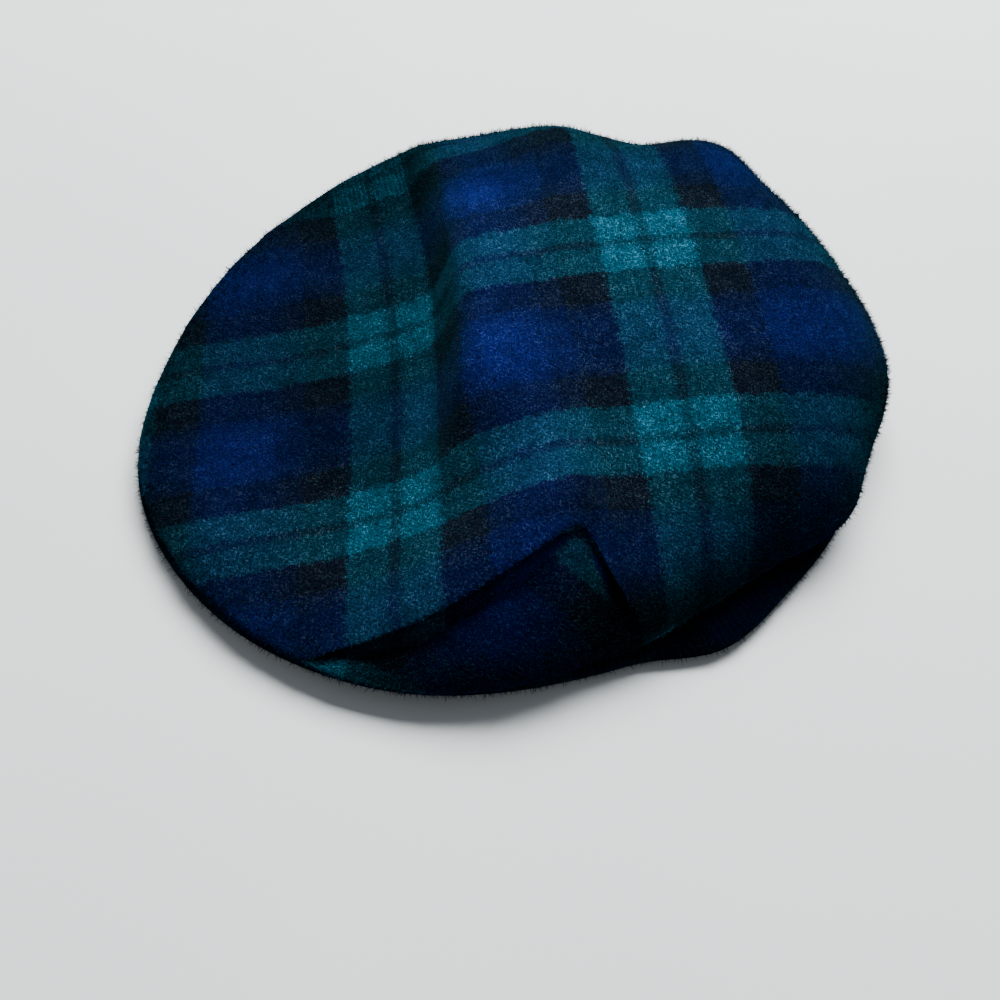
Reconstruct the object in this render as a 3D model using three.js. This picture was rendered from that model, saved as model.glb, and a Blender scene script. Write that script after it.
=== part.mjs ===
// Tam o' shanter: a flat round bonnet of felted plaid cloth lying on a surface.
// Three sewn pieces: the crown, the underside ring below it and the headband round the head opening.
// Millimetres, +Z up, the front of the picture towards -Y.
import * as THREE from "three";

// Driving sizes
const HALF_WIDTH = 140;
const CROWN_HEIGHT = 46;
const CLOTH = 2.2;
const SEAM_GAP = 0.5;
const SEAM_ROLL = 2.6;
const EDGE_ROUND = 8;
const FLOOR_CLEARANCE = 0.6;

// Headband: an upright oval band that stands on the surface and carries the hat
const BAND_HALF_X = 72;
const BAND_HALF_Y = 88;
const BAND_HEIGHT = 12;
const BAND_MIDDLE_X = 0.14 * HALF_WIDTH;
const BAND_MIDDLE_Y = 0.007 * HALF_WIDTH;
const RING_INNER_HEIGHT = 0.7 * BAND_HEIGHT;

// The crown lies low over its left side and climbs a step to its raised part.
// Both parts rise a little towards the back, and the raised part also towards the right.
const LOW_SIDE = 0.35 * CROWN_HEIGHT;
const STEP_FOOT = -0.47 * HALF_WIDTH;
const STEP_LENGTH = 0.55 * HALF_WIDTH;
const STEP_LEAN = 0.07;
const LOW_SIDE_RISE = 0.03;
const RAISED_SIDE_RISE = 0.06;
const RIGHTWARD_RISE = 0.03;

// The riser: the steep face of the step. Its foot bends to the left towards the front and the back,
// and it is steepest in the middle and at the front. It dies away to the right and at the front rim.
const RISER_FOOT = -0.267 * HALF_WIDTH;
const RISER_MIDDLE_Y = -0.14 * HALF_WIDTH;
const RISER_BEND = 0.2 / HALF_WIDTH;
const RISER_RUN = 0.085 * HALF_WIDTH;
const RISER_BACK_RUN = 0.13 * HALF_WIDTH;
const RISER_HEIGHT = 0.34 * CROWN_HEIGHT;
const RISER_BACK_HEIGHT = 0.24 * CROWN_HEIGHT;
const RISER_FADE = 0.3 * HALF_WIDTH;

// Grid of the cloth pieces
const TURNS = 72;
const CROWN_RINGS = 24;
const ROLL_RINGS = 2;
const UNDERSIDE_RINGS = 9;
const HEADBAND_RINGS = 2;

// One row for each section through the rim. turn: its direction in degrees, anticlockwise from +X.
// reach: the crown's edge as a share of HALF_WIDTH. rim: height of that edge as a share of CROWN_HEIGHT.
// fullness: how long the crown stays high before it falls to the rim.
// puff: how far the underside swells out past the seam, as a share of HALF_WIDTH.
const SECTIONS = [
  { turn: 0, reach: 1.015, rim: 0.32, fullness: 5, puff: 0 },
  { turn: 22, reach: 0.985, rim: 0.4, fullness: 6, puff: 0 },
  { turn: 41, reach: 1.02, rim: 0.44, fullness: 4, puff: 0 },
  { turn: 56, reach: 1.1, rim: 0.43, fullness: 2.6, puff: 0 },
  { turn: 68, reach: 0.95, rim: 0.4, fullness: 3, puff: 0 },
  { turn: 90, reach: 0.94, rim: 0.41, fullness: 4.5, puff: 0 },
  { turn: 112, reach: 0.945, rim: 0.37, fullness: 6, puff: 0 },
  { turn: 135, reach: 0.925, rim: 0.26, fullness: 3, puff: 0 },
  { turn: 158, reach: 0.935, rim: 0.23, fullness: 2.4, puff: 0 },
  { turn: 180, reach: 0.985, rim: 0.22, fullness: 2.3, puff: 0.03 },
  { turn: 202, reach: 1.075, rim: 0.21, fullness: 2.4, puff: 0.035 },
  { turn: 225, reach: 1.085, rim: 0.21, fullness: 2.8, puff: 0.03 },
  { turn: 248, reach: 1.045, rim: 0.21, fullness: 5, puff: 0.01 },
  { turn: 268, reach: 0.965, rim: 0.24, fullness: 5.5, puff: 0.014 },
  { turn: 279, reach: 0.905, rim: 0.23, fullness: 4.5, puff: 0.04 },
  { turn: 288, reach: 0.88, rim: 0.22, fullness: 3, puff: 0.055 },
  { turn: 300, reach: 0.85, rim: 0.23, fullness: 2.5, puff: 0.125 },
  { turn: 315, reach: 0.865, rim: 0.26, fullness: 2.4, puff: 0.09 },
  { turn: 330, reach: 0.945, rim: 0.3, fullness: 2.8, puff: 0.015 },
  { turn: 345, reach: 0.955, rim: 0.32, fullness: 4, puff: 0 },
];

// Soft ridges and hollows of the crown, each along a straight line between two points.
// Points and width are shares of HALF_WIDTH, rise is a share of CROWN_HEIGHT.
const SWELLS = [
  { name: "step foot crease", fromX: -0.3, fromY: 0.6, toX: -0.26, toY: -0.55, width: 0.07, rise: -0.05 },
  { name: "brow of the step", fromX: 0, fromY: 0.35, toX: 0.06, toY: -0.45, width: 0.13, rise: 0.03 },
  { name: "hollow right of the brow", fromX: 0.23, fromY: -0.2, toX: 0.26, toY: -0.5, width: 0.09, rise: -0.04 },
  { name: "dish of the low side", fromX: -0.68, fromY: 0.05, toX: -0.66, toY: -0.3, width: 0.2, rise: -0.1 },
  { name: "hollow at the back left", fromX: -0.58, fromY: 0.6, toX: -0.56, toY: 0.35, width: 0.1, rise: -0.1 },
  { name: "slack over the right edge", fromX: 0.55, fromY: 0.3, toX: 0.62, toY: -0.25, width: 0.16, rise: -0.04 },
  { name: "lip of the front fold", fromX: -0.34, fromY: -0.84, toX: 0.09, toY: -0.57, width: 0.1, rise: 0.08 },
];

// The front fold: a pleat whose floor is the triangle between the rim and these three corners
const FOLD_LEFT = { x: -0.47, y: -0.97 };
const FOLD_TIP = { x: 0.11, y: -0.62 };
const FOLD_RIGHT = { x: 0.27, y: -0.85 };
const FOLD_DEPTH = 0.15 * CROWN_HEIGHT;
const FOLD_SOFTNESS = 0.06 * HALF_WIDTH;

const clamp = (value) => Math.min(1, Math.max(0, value));
const ease = (value) => clamp(value) ** 2 * (3 - 2 * clamp(value));

// Smooth value of one column of SECTIONS in any direction, closed all round
function sectionValue(angle, column) {
  const count = SECTIONS.length;
  const turn = ((((angle * 180) / Math.PI) % 360) + 360) % 360;
  const row = (k) => {
    const wraps = Math.floor(k / count);
    const found = SECTIONS[k - wraps * count];
    return { at: found.turn + 360 * wraps, value: found[column] };
  };
  let k = 0;
  while (k < count - 1 && row(k + 1).at <= turn) k += 1;
  const [before, start, end, after] = [row(k - 1), row(k), row(k + 1), row(k + 2)];
  const span = end.at - start.at;
  const share = (turn - start.at) / span;
  const startSlope = (span * (end.value - before.value)) / (end.at - before.at);
  const endSlope = (span * (after.value - start.value)) / (after.at - start.at);
  const square = share * share;
  const cube = square * share;
  return (
    (2 * cube - 3 * square + 1) * start.value +
    (cube - 2 * square + share) * startSlope +
    (3 * square - 2 * cube) * end.value +
    (cube - square) * endSlope
  );
}

// Distance from a point to the straight line of one swell
function distanceToSwell(x, y, swell) {
  const fromX = swell.fromX * HALF_WIDTH;
  const fromY = swell.fromY * HALF_WIDTH;
  const alongX = swell.toX * HALF_WIDTH - fromX;
  const alongY = swell.toY * HALF_WIDTH - fromY;
  const share = clamp(((x - fromX) * alongX + (y - fromY) * alongY) / (alongX ** 2 + alongY ** 2));
  return Math.hypot(x - fromX - share * alongX, y - fromY - share * alongY);
}

// How far a point lies to the right of the line from one corner to another, in mm
function sideOf(x, y, from, to) {
  const alongX = (to.x - from.x) * HALF_WIDTH;
  const alongY = (to.y - from.y) * HALF_WIDTH;
  const offX = x - from.x * HALF_WIDTH;
  const offY = y - from.y * HALF_WIDTH;
  return (offX * alongY - offY * alongX) / Math.hypot(alongX, alongY);
}

// Share of the front fold's depth at a point: 1 on its floor, 0 outside it
function foldShare(x, y) {
  const belowLip = sideOf(x, y, FOLD_LEFT, FOLD_TIP);
  const leftOfEdge = sideOf(x, y, FOLD_TIP, FOLD_RIGHT);
  return ease(belowLip / FOLD_SOFTNESS) * ease(leftOfEdge / FOLD_SOFTNESS);
}

// Height the riser adds to the step at a point
function riserHeight(x, y) {
  const foot = RISER_FOOT - RISER_BEND * (y - RISER_MIDDLE_Y) ** 2;
  const towardsBack = ease((y / HALF_WIDTH - 0.2) / 0.6);
  const run = RISER_RUN + (RISER_BACK_RUN - RISER_RUN) * towardsBack;
  const height = RISER_HEIGHT + (RISER_BACK_HEIGHT - RISER_HEIGHT) * towardsBack;
  const fromFront = ease((y / HALF_WIDTH + 0.6) / 0.5);
  const dying = 1 - ease((x - foot - 0.5 * run) / RISER_FADE);
  return height * ease((x - foot) / run) * dying * fromFront;
}

// Height the crown would have far from its rim
function crownLevel(x, y) {
  const climbed = ease((x - STEP_FOOT - STEP_LEAN * y) / STEP_LENGTH);
  const low = LOW_SIDE + LOW_SIDE_RISE * y;
  const raised = CROWN_HEIGHT + RAISED_SIDE_RISE * y + RIGHTWARD_RISE * (x - BAND_MIDDLE_X);
  return low + (raised - low) * climbed + riserHeight(x, y);
}

// Outer surface of the crown from its middle (share 0) to the seam (share 1)
function crownPoint(share, angle) {
  const reach = HALF_WIDTH * sectionValue(angle, "reach");
  const rim = CROWN_HEIGHT * sectionValue(angle, "rim");
  const rollFrom = CROWN_RINGS / (CROWN_RINGS + ROLL_RINGS);
  const out = Math.min(1, share / rollFrom);
  const outward = Math.sin((Math.PI / 2) * out) ** 0.9;
  const rolled = clamp((share - rollFrom) / (1 - rollFrom)) * (Math.PI / 2);
  const radius = reach * outward - SEAM_ROLL * (1 - Math.cos(rolled));
  const x = radius * Math.cos(angle);
  const y = radius * Math.sin(angle);
  const fall = Math.sqrt(Math.max(0, 1 - outward ** sectionValue(angle, "fullness")));
  let height = rim + (crownLevel(x, y) - rim) * fall;
  for (const swell of SWELLS) {
    const near = distanceToSwell(x, y, swell) / (swell.width * HALF_WIDTH);
    height += swell.rise * CROWN_HEIGHT * Math.exp(-near * near) * fall;
  }
  height -= FOLD_DEPTH * foldShare(x, y) * Math.min(1, 1.6 * fall);
  return new THREE.Vector3(x, y, height - SEAM_ROLL * Math.sin(rolled));
}

// Radius of the headband's outer face from the middle of the hat, in one direction
function bandRadius(angle, extra) {
  const halfX = BAND_HALF_X + extra;
  const halfY = BAND_HALF_Y + extra;
  const alongX = Math.cos(angle);
  const alongY = Math.sin(angle);
  const a = (alongX / halfX) ** 2 + (alongY / halfY) ** 2;
  const b = (alongX * BAND_MIDDLE_X) / halfX ** 2 + (alongY * BAND_MIDDLE_Y) / halfY ** 2;
  const c = (BAND_MIDDLE_X / halfX) ** 2 + (BAND_MIDDLE_Y / halfY) ** 2 - 1;
  return (b + Math.sqrt(b * b - a * c)) / a;
}

// Outer surface of the underside ring from the seam (share 0) to the headband (share 1)
function undersidePoint(share, angle) {
  const puff = HALF_WIDTH * Math.max(0, sectionValue(angle, "puff"));
  const seamRadius = HALF_WIDTH * sectionValue(angle, "reach") - SEAM_ROLL;
  const seamHeight = CROWN_HEIGHT * sectionValue(angle, "rim") - SEAM_ROLL - SEAM_GAP;
  const roundness = EDGE_ROUND + puff;
  const startTurn = Math.acos(EDGE_ROUND / roundness);
  const edgeShare = 0.5;
  const widestHeight = startTurn > 0.01 ? 0.55 * seamHeight : seamHeight;
  const middleRadius = seamRadius + puff - roundness;
  let radius = middleRadius;
  let height = FLOOR_CLEARANCE;
  if (share < edgeShare) {
    const turn = startTurn - (share / edgeShare) * (startTurn + Math.PI / 2);
    radius = middleRadius + roundness * Math.cos(turn);
    if (turn > 0) {
      height = widestHeight + ((seamHeight - widestHeight) * Math.sin(turn)) / Math.sin(startTurn);
    } else {
      height = widestHeight + (widestHeight - FLOOR_CLEARANCE) * Math.sin(turn);
    }
  } else {
    const inward = (share - edgeShare) / (1 - edgeShare);
    const innerRadius = bandRadius(angle, SEAM_GAP);
    radius = middleRadius + (innerRadius - middleRadius) * inward;
    height = FLOOR_CLEARANCE + (RING_INNER_HEIGHT - FLOOR_CLEARANCE) * inward ** 2;
  }
  return new THREE.Vector3(radius * Math.cos(angle), radius * Math.sin(angle), height);
}

// Unit normal of a surface, on the side that faces out
function outwardNormal(surface, share, angle) {
  const step = 0.004;
  const low = Math.max(0, share - step);
  const high = Math.min(1, share + step);
  const centre = clamp((low + high) / 2);
  const across = surface(high, angle).sub(surface(low, angle));
  const around = surface(centre, angle + step).sub(surface(centre, angle - step));
  return across.cross(around).normalize();
}

// A cloth wall: the outer surface, the same surface set back by the cloth's thickness, and its edges
function clothWall(surface, rings, startsAtMiddle) {
  const positions = [];
  const triangles = [];
  const add = (point) => positions.push(point.x, point.y, point.z) / 3 - 1;
  const grids = [[], []];
  for (let ring = startsAtMiddle ? 1 : 0; ring <= rings; ring += 1) {
    const rows = [[], []];
    for (let turn = 0; turn < TURNS; turn += 1) {
      const angle = (2 * Math.PI * turn) / TURNS;
      const outer = surface(ring / rings, angle);
      const inner = outer.clone().addScaledVector(outwardNormal(surface, ring / rings, angle), -CLOTH);
      rows[0].push(add(outer));
      rows[1].push(add(inner));
    }
    grids[0].push(rows[0]);
    grids[1].push(rows[1]);
  }
  const quad = (a, b, c, d) => triangles.push(a, b, c, a, c, d);
  const next = (turn) => (turn + 1) % TURNS;
  const [outer, inner] = grids;
  const last = outer.length - 1;
  for (let turn = 0; turn < TURNS; turn += 1) {
    const after = next(turn);
    for (let ring = 0; ring < last; ring += 1) {
      quad(outer[ring][turn], outer[ring + 1][turn], outer[ring + 1][after], outer[ring][after]);
      quad(inner[ring][turn], inner[ring][after], inner[ring + 1][after], inner[ring + 1][turn]);
    }
    quad(outer[last][turn], inner[last][turn], inner[last][after], outer[last][after]);
    if (!startsAtMiddle) quad(outer[0][turn], outer[0][after], inner[0][after], inner[0][turn]);
  }
  if (startsAtMiddle) {
    const top = surface(0, 0);
    const outerMiddle = add(top);
    const innerMiddle = add(new THREE.Vector3(top.x, top.y, top.z - CLOTH));
    for (let turn = 0; turn < TURNS; turn += 1) {
      triangles.push(outerMiddle, outer[0][turn], outer[0][next(turn)]);
      triangles.push(innerMiddle, inner[0][next(turn)], inner[0][turn]);
    }
  }
  const geometry = new THREE.BufferGeometry();
  geometry.setAttribute("position", new THREE.Float32BufferAttribute(positions, 3));
  geometry.setIndex(triangles);
  return geometry;
}

// Outer face of the headband from its upper edge (share 0) to its lower edge (share 1)
function headbandPoint(share, angle) {
  const radius = bandRadius(angle, 0);
  return new THREE.Vector3(radius * Math.cos(angle), radius * Math.sin(angle), BAND_HEIGHT * (1 - share));
}

const pieces = [
  { name: "crown", geometry: clothWall(crownPoint, CROWN_RINGS + ROLL_RINGS, true), colour: 0x16324a },
  { name: "underside", geometry: clothWall(undersidePoint, UNDERSIDE_RINGS, false), colour: 0x12243c },
  { name: "headband", geometry: clothWall(headbandPoint, HEADBAND_RINGS, false), colour: 0x10182c },
];

// The origin is under the middle of the whole hat
const whole = new THREE.Box3();
for (const piece of pieces) {
  piece.geometry.computeBoundingBox();
  whole.union(piece.geometry.boundingBox);
}
const middle = whole.getCenter(new THREE.Vector3());

const group = new THREE.Group();
for (const piece of pieces) {
  piece.geometry.translate(-middle.x, -middle.y, 0);
  const material = new THREE.MeshStandardMaterial({ color: piece.colour, roughness: 0.95 });
  const mesh = new THREE.Mesh(piece.geometry, material);
  mesh.name = piece.name;
  group.add(mesh);
}

export default group;
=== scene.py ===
"""Dresses the tam o' shanter: a felted plaid crown, its underside ring and headband, on a pale table.

Each surface of the hat is a function of a share, 0 to 1 along the cloth, and an angle round the hat.
Lengths are millimetres about the middle of the crown, and every mesh is put in metres where the solids are.
"""

import logging
from dataclasses import dataclass, field
from enum import Enum
from typing import NamedTuple

import bpy
import numpy as np
from mathutils import Matrix, Vector

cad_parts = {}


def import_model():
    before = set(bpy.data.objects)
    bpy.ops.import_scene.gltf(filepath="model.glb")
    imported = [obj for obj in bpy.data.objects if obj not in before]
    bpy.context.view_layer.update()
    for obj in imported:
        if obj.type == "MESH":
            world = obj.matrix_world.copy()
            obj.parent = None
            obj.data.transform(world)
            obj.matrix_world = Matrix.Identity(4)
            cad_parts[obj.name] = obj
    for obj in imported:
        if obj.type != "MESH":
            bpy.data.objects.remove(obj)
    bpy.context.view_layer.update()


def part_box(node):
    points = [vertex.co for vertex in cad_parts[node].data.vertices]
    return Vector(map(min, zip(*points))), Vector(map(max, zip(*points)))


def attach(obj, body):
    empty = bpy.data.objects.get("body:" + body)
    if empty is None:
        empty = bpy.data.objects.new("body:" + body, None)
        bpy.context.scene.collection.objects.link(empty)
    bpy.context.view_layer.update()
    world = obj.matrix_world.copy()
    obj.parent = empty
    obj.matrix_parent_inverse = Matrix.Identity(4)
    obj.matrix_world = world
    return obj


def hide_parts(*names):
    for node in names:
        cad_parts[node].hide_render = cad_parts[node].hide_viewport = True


LOG = logging.getLogger("tam_o_shanter")
METRES = 0.001
CLOTH_MAP = "Cloth"
PAINTED_LIGHT = "Rubbed"
LATTICE_SIDE = 128


class Section(NamedTuple):
    """One direction through the rim.

    turn is in degrees. reach and puff, by which the underside swells out, are shares of the half width, and
    rim is a share of the crown's height. The fuller the section, the longer it stays high.
    """

    turn: float
    reach: float
    rim: float
    fullness: float
    puff: float


class Swell(NamedTuple):
    """A soft ridge or hollow along a straight line, in shares of the half width and the crown's height."""

    from_x: float
    from_y: float
    to_x: float
    to_y: float
    width: float
    rise: float


class Fade(NamedTuple):
    """A soft change that begins at one value, is whole after a run of over and then amounts to most."""

    begin: float
    over: float
    most: float = 1.0

    def of(self, value: np.ndarray) -> np.ndarray:
        """How much of the change each value has."""
        return self.most * ease((value - self.begin) / self.over)


SECTIONS = (
    Section(0, 1.015, 0.32, 5, 0),
    Section(22, 0.985, 0.4, 6, 0),
    Section(41, 1.02, 0.44, 4, 0),
    Section(56, 1.1, 0.43, 2.6, 0),
    Section(68, 0.95, 0.4, 3, 0),
    Section(90, 0.94, 0.41, 4.5, 0),
    Section(112, 0.945, 0.37, 6, 0),
    Section(135, 0.925, 0.26, 3, 0),
    Section(158, 0.935, 0.23, 2.4, 0),
    Section(180, 0.985, 0.22, 2.3, 0.03),
    Section(202, 1.075, 0.21, 2.4, 0.035),
    Section(225, 1.085, 0.21, 2.8, 0.03),
    Section(248, 1.045, 0.21, 5, 0.01),
    Section(268, 0.965, 0.24, 5.5, 0.014),
    Section(279, 0.905, 0.23, 4.5, 0.04),
    Section(288, 0.88, 0.22, 3, 0.055),
    Section(300, 0.85, 0.23, 2.5, 0.125),
    Section(315, 0.865, 0.26, 2.4, 0.09),
    Section(330, 0.945, 0.3, 2.8, 0.015),
    Section(345, 0.955, 0.32, 4, 0),
)

SWELLS = (
    Swell(-0.3, 0.6, -0.26, -0.55, 0.07, -0.05),
    Swell(0.0, 0.35, 0.06, -0.45, 0.13, 0.03),
    Swell(0.23, -0.2, 0.26, -0.5, 0.09, -0.04),
    Swell(-0.68, 0.05, -0.66, -0.3, 0.2, -0.1),
    Swell(-0.58, 0.6, -0.56, 0.35, 0.1, -0.1),
    Swell(0.55, 0.3, 0.62, -0.25, 0.16, -0.04),
    Swell(-0.34, -0.84, 0.09, -0.57, 0.1, 0.08),
)


def full_grid(share: np.ndarray, angle: np.ndarray) -> tuple[np.ndarray, np.ndarray]:
    """The share and the angle at every crossing of a grid of rings and turns."""
    return tuple(np.broadcast_arrays(share[:, None], angle[None, :]))


def even_turns(count: int) -> np.ndarray:
    """Angles in radians that share a full circle evenly."""
    return np.arange(count) * 2 * np.pi / count


def ease(value: np.ndarray) -> np.ndarray:
    """Smooth step: 0 below 0, 1 above 1, and three squares less two cubes between."""
    held = np.clip(value, 0, 1)
    return held * held * (3 - 2 * held)


def segment_distance(x: np.ndarray, y: np.ndarray, start: tuple, end: tuple) -> np.ndarray:
    """Distance from each point to a straight line between two points.

    Args:
        x: first coordinates.
        y: second coordinates.
        start: one end of the line.
        end: its other end.

    Returns:
        The distances, in the unit of the points.
    """
    along_x = end[0] - start[0]
    along_y = end[1] - start[1]
    share = ((x - start[0]) * along_x + (y - start[1]) * along_y) / (along_x**2 + along_y**2)
    share = np.clip(share, 0, 1)
    return np.hypot(x - start[0] - share * along_x, y - start[1] - share * along_y)


def soft_noise(x: np.ndarray, y: np.ndarray, grain: float, seed: int) -> np.ndarray:
    """Smooth random field: numbers drawn on a square lattice, eased from one crossing to the next.

    Args:
        x: first coordinates in mm.
        y: second coordinates in mm.
        grain: side of a lattice square in mm.
        seed: seed of the draw.

    Returns:
        Values of about -1 to 1.
    """
    size = LATTICE_SIDE
    lattice = np.random.default_rng(seed).uniform(-1, 1, (size, size))
    column = x / grain + size / 2
    row = y / grain + size / 2
    left = np.floor(column).astype(int)
    low = np.floor(row).astype(int)
    across = ease(column - left)
    up = ease(row - low)
    crossings = [[lattice[(low + j) % size, (left + i) % size] for i in (0, 1)] for j in (0, 1)]
    lower = crossings[0][0] * (1 - across) + crossings[0][1] * across
    upper = crossings[1][0] * (1 - across) + crossings[1][1] * across
    return lower * (1 - up) + upper * up


@dataclass(frozen=True)
class FrontPleat:
    """The pleat at the front: the crown is tucked under a long lip and a short edge that meet at a tip.

    Lengths are mm. The lip runs from lip_start to tip and the short edge from tip to edge_end, and each bows
    towards the pleat's floor. floor_column and floor_row say how the plaid lies on the floor: the place in
    repeats, the distance in mm that it is at, and the repeats for each mm. The greater floor_reach and
    lip_reach are, the nearer to the rim the pleat stays whole.
    """

    lip_start: tuple = (-64.0, -125.5)
    tip: tuple = (14.5, -88.5)
    edge_end: tuple = (38.0, -120.0)
    lip_bow: float = 7.4
    edge_bow: float = 2.0
    depth: float = 5.4
    depth_at_tip: float = 0.35
    deepens_over: float = 42.0
    step: float = 4.4
    overlaps: tuple = (8.8, 6.0)
    overlap_width: float = 3.0
    fold_back: float = 2.9
    opens_over: float = 14.0
    past_tip: Fade = Fade(-2.0, 5.0)
    floor_reach: float = 1.6
    lip_reach: float = 2.2
    grain_turn: float = -28.0
    floor_column: tuple = (0.158, 86.0, 0.0129)
    floor_row: tuple = (0.688, 64.0, 0.0093)
    # floor_shade, corner_loss and the corner fades paint shade on the pleat's floor, darkest in its deep
    # corner
    floor_shade: float = 0.9
    corner_loss: float = 0.75
    corner_along: Fade = Fade(66.0, 10.0)
    corner_across: Fade = Fade(-104.0, 10.0)

    def _below(self, x: np.ndarray, y: np.ndarray, start: tuple, end: tuple, bow: float) -> np.ndarray:
        """Distance to the right of a line that bows to the right by a parabola.

        Args:
            x: first coordinates in mm.
            y: second coordinates in mm.
            start: where the line starts.
            end: where it ends.
            bow: how far its middle bows out.

        Returns:
            Distances in mm, positive on the pleat's floor.
        """
        along = np.array(end) - np.array(start)
        length = np.hypot(along[0], along[1])
        off_x = x - start[0]
        off_y = y - start[1]
        share = np.clip((off_x * along[0] + off_y * along[1]) / length**2, 0, 1)
        return (off_x * along[1] - off_y * along[0]) / length - 4 * bow * share * (1 - share)

    def below_lip(self, x: np.ndarray, y: np.ndarray) -> np.ndarray:
        """Distance below the lip in mm."""
        return self._below(x, y, self.lip_start, self.tip, self.lip_bow)

    def inside_edge(self, x: np.ndarray, y: np.ndarray) -> np.ndarray:
        """Distance to the left of the short edge in mm."""
        return self._below(x, y, self.tip, self.edge_end, self.edge_bow)

    def floor_share(self, x: np.ndarray, y: np.ndarray, step: float, begin: float) -> np.ndarray:
        """Share of the pleat's depth: 0 up to begin mm inside both lines and 1 a step further."""
        return ease((self.below_lip(x, y) - begin) / step) * ease((self.inside_edge(x, y) - begin) / step)

    def grown(self, x: np.ndarray, y: np.ndarray) -> np.ndarray:
        """How far the folds have opened: 0 at the tip, 1 from opens_over away."""
        return ease(np.hypot(x - self.tip[0], y - self.tip[1]) / self.opens_over)

    def sink(self, x: np.ndarray, y: np.ndarray, step: float, begin: float) -> np.ndarray:
        """How far a point lies below the crown around the pleat: least at the tip.

        Args:
            x: first coordinates in mm.
            y: second coordinates in mm.
            step: run in mm over which the floor sinks.
            begin: how far inside both lines it starts to sink, in mm.

        Returns:
            Depths in mm.
        """
        away = np.hypot(x - self.tip[0], y - self.tip[1])
        share = self.depth_at_tip + (1 - self.depth_at_tip) * ease(away / self.deepens_over)
        return self.depth * share * self.floor_share(x, y, step, begin)

    def tuck(self, points: np.ndarray, fall: np.ndarray) -> np.ndarray:
        """Sinks the floor and pulls the cloth on each side of a fold line over it.

        The pull across a line is its overlap times -n times exp(-n squared). n is the distance, over the
        overlap's width, from a line that lies fold_back less 1 mm above the fold. So the lip hangs over the
        cloth below it and ends on the fold line.

        Args:
            points: points of the crown, with x, y and z last.
            fall: 1 in the middle of the crown and 0 at its rim.

        Returns:
            The points after the tuck.
        """
        x, y = points[..., 0], points[..., 1]
        grown = self.grown(x, y)
        lip = self.below_lip(x, y) + self.fold_back * grown
        edge = self.inside_edge(x, y) + self.fold_back * grown
        out = points.copy()
        sunk = self.sink(x, y, self.step, -self.fold_back * grown)
        out[..., 2] -= sunk * np.minimum(1, self.floor_reach * fall)
        for overlap, distance, other, start, end in (
            (self.overlaps[0], lip, edge, self.lip_start, self.tip),
            (self.overlaps[1], edge, lip, self.tip, self.edge_end),
        ):
            along = np.array(end) - np.array(start)
            across = np.array([along[1], -along[0]]) / np.hypot(along[0], along[1])
            near = (distance - 1) / self.overlap_width
            pull = -overlap * grown * near * np.exp(-near * near)
            pull = pull * self.past_tip.of(other) * np.minimum(1, self.lip_reach * fall)
            out[..., 0] += across[0] * pull
            out[..., 1] += across[1] * pull
        return out

    def grain_axes(self, x: np.ndarray, y: np.ndarray) -> tuple[np.ndarray, np.ndarray]:
        """Distances along the floor's columns and across them, towards the front, in mm."""
        cosine, sine = np.cos(np.radians(self.grain_turn)), np.sin(np.radians(self.grain_turn))
        return x * cosine + y * sine, x * sine - y * cosine

    def shade(self, x: np.ndarray, y: np.ndarray) -> np.ndarray:
        """Painted shade on the floor's cloth: darker than the crown, darkest in the corner by the short
        edge.

        Args:
            x: first coordinates in mm.
            y: second coordinates in mm.

        Returns:
            Shares of the crown's brightness.
        """
        along, across = self.grain_axes(x, y)
        corner = self.corner_along.of(along) * self.corner_across.of(-across)
        return self.floor_shade * (1 - self.corner_loss * corner)

    def pattern(self, x: np.ndarray, y: np.ndarray) -> np.ndarray:
        """Place on the plaid of the pleat's floor, whose columns run along grain_turn.

        Args:
            x: first coordinates in mm.
            y: second coordinates in mm.

        Returns:
            Column and row on the plaid, in repeats.
        """
        along, across = self.grain_axes(x, y)
        places = []
        for distance, (place, place_at, rate) in ((across, self.floor_column), (along, self.floor_row)):
            places.append(place + (distance - place_at) * rate)
        return np.stack(places, -1)


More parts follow.
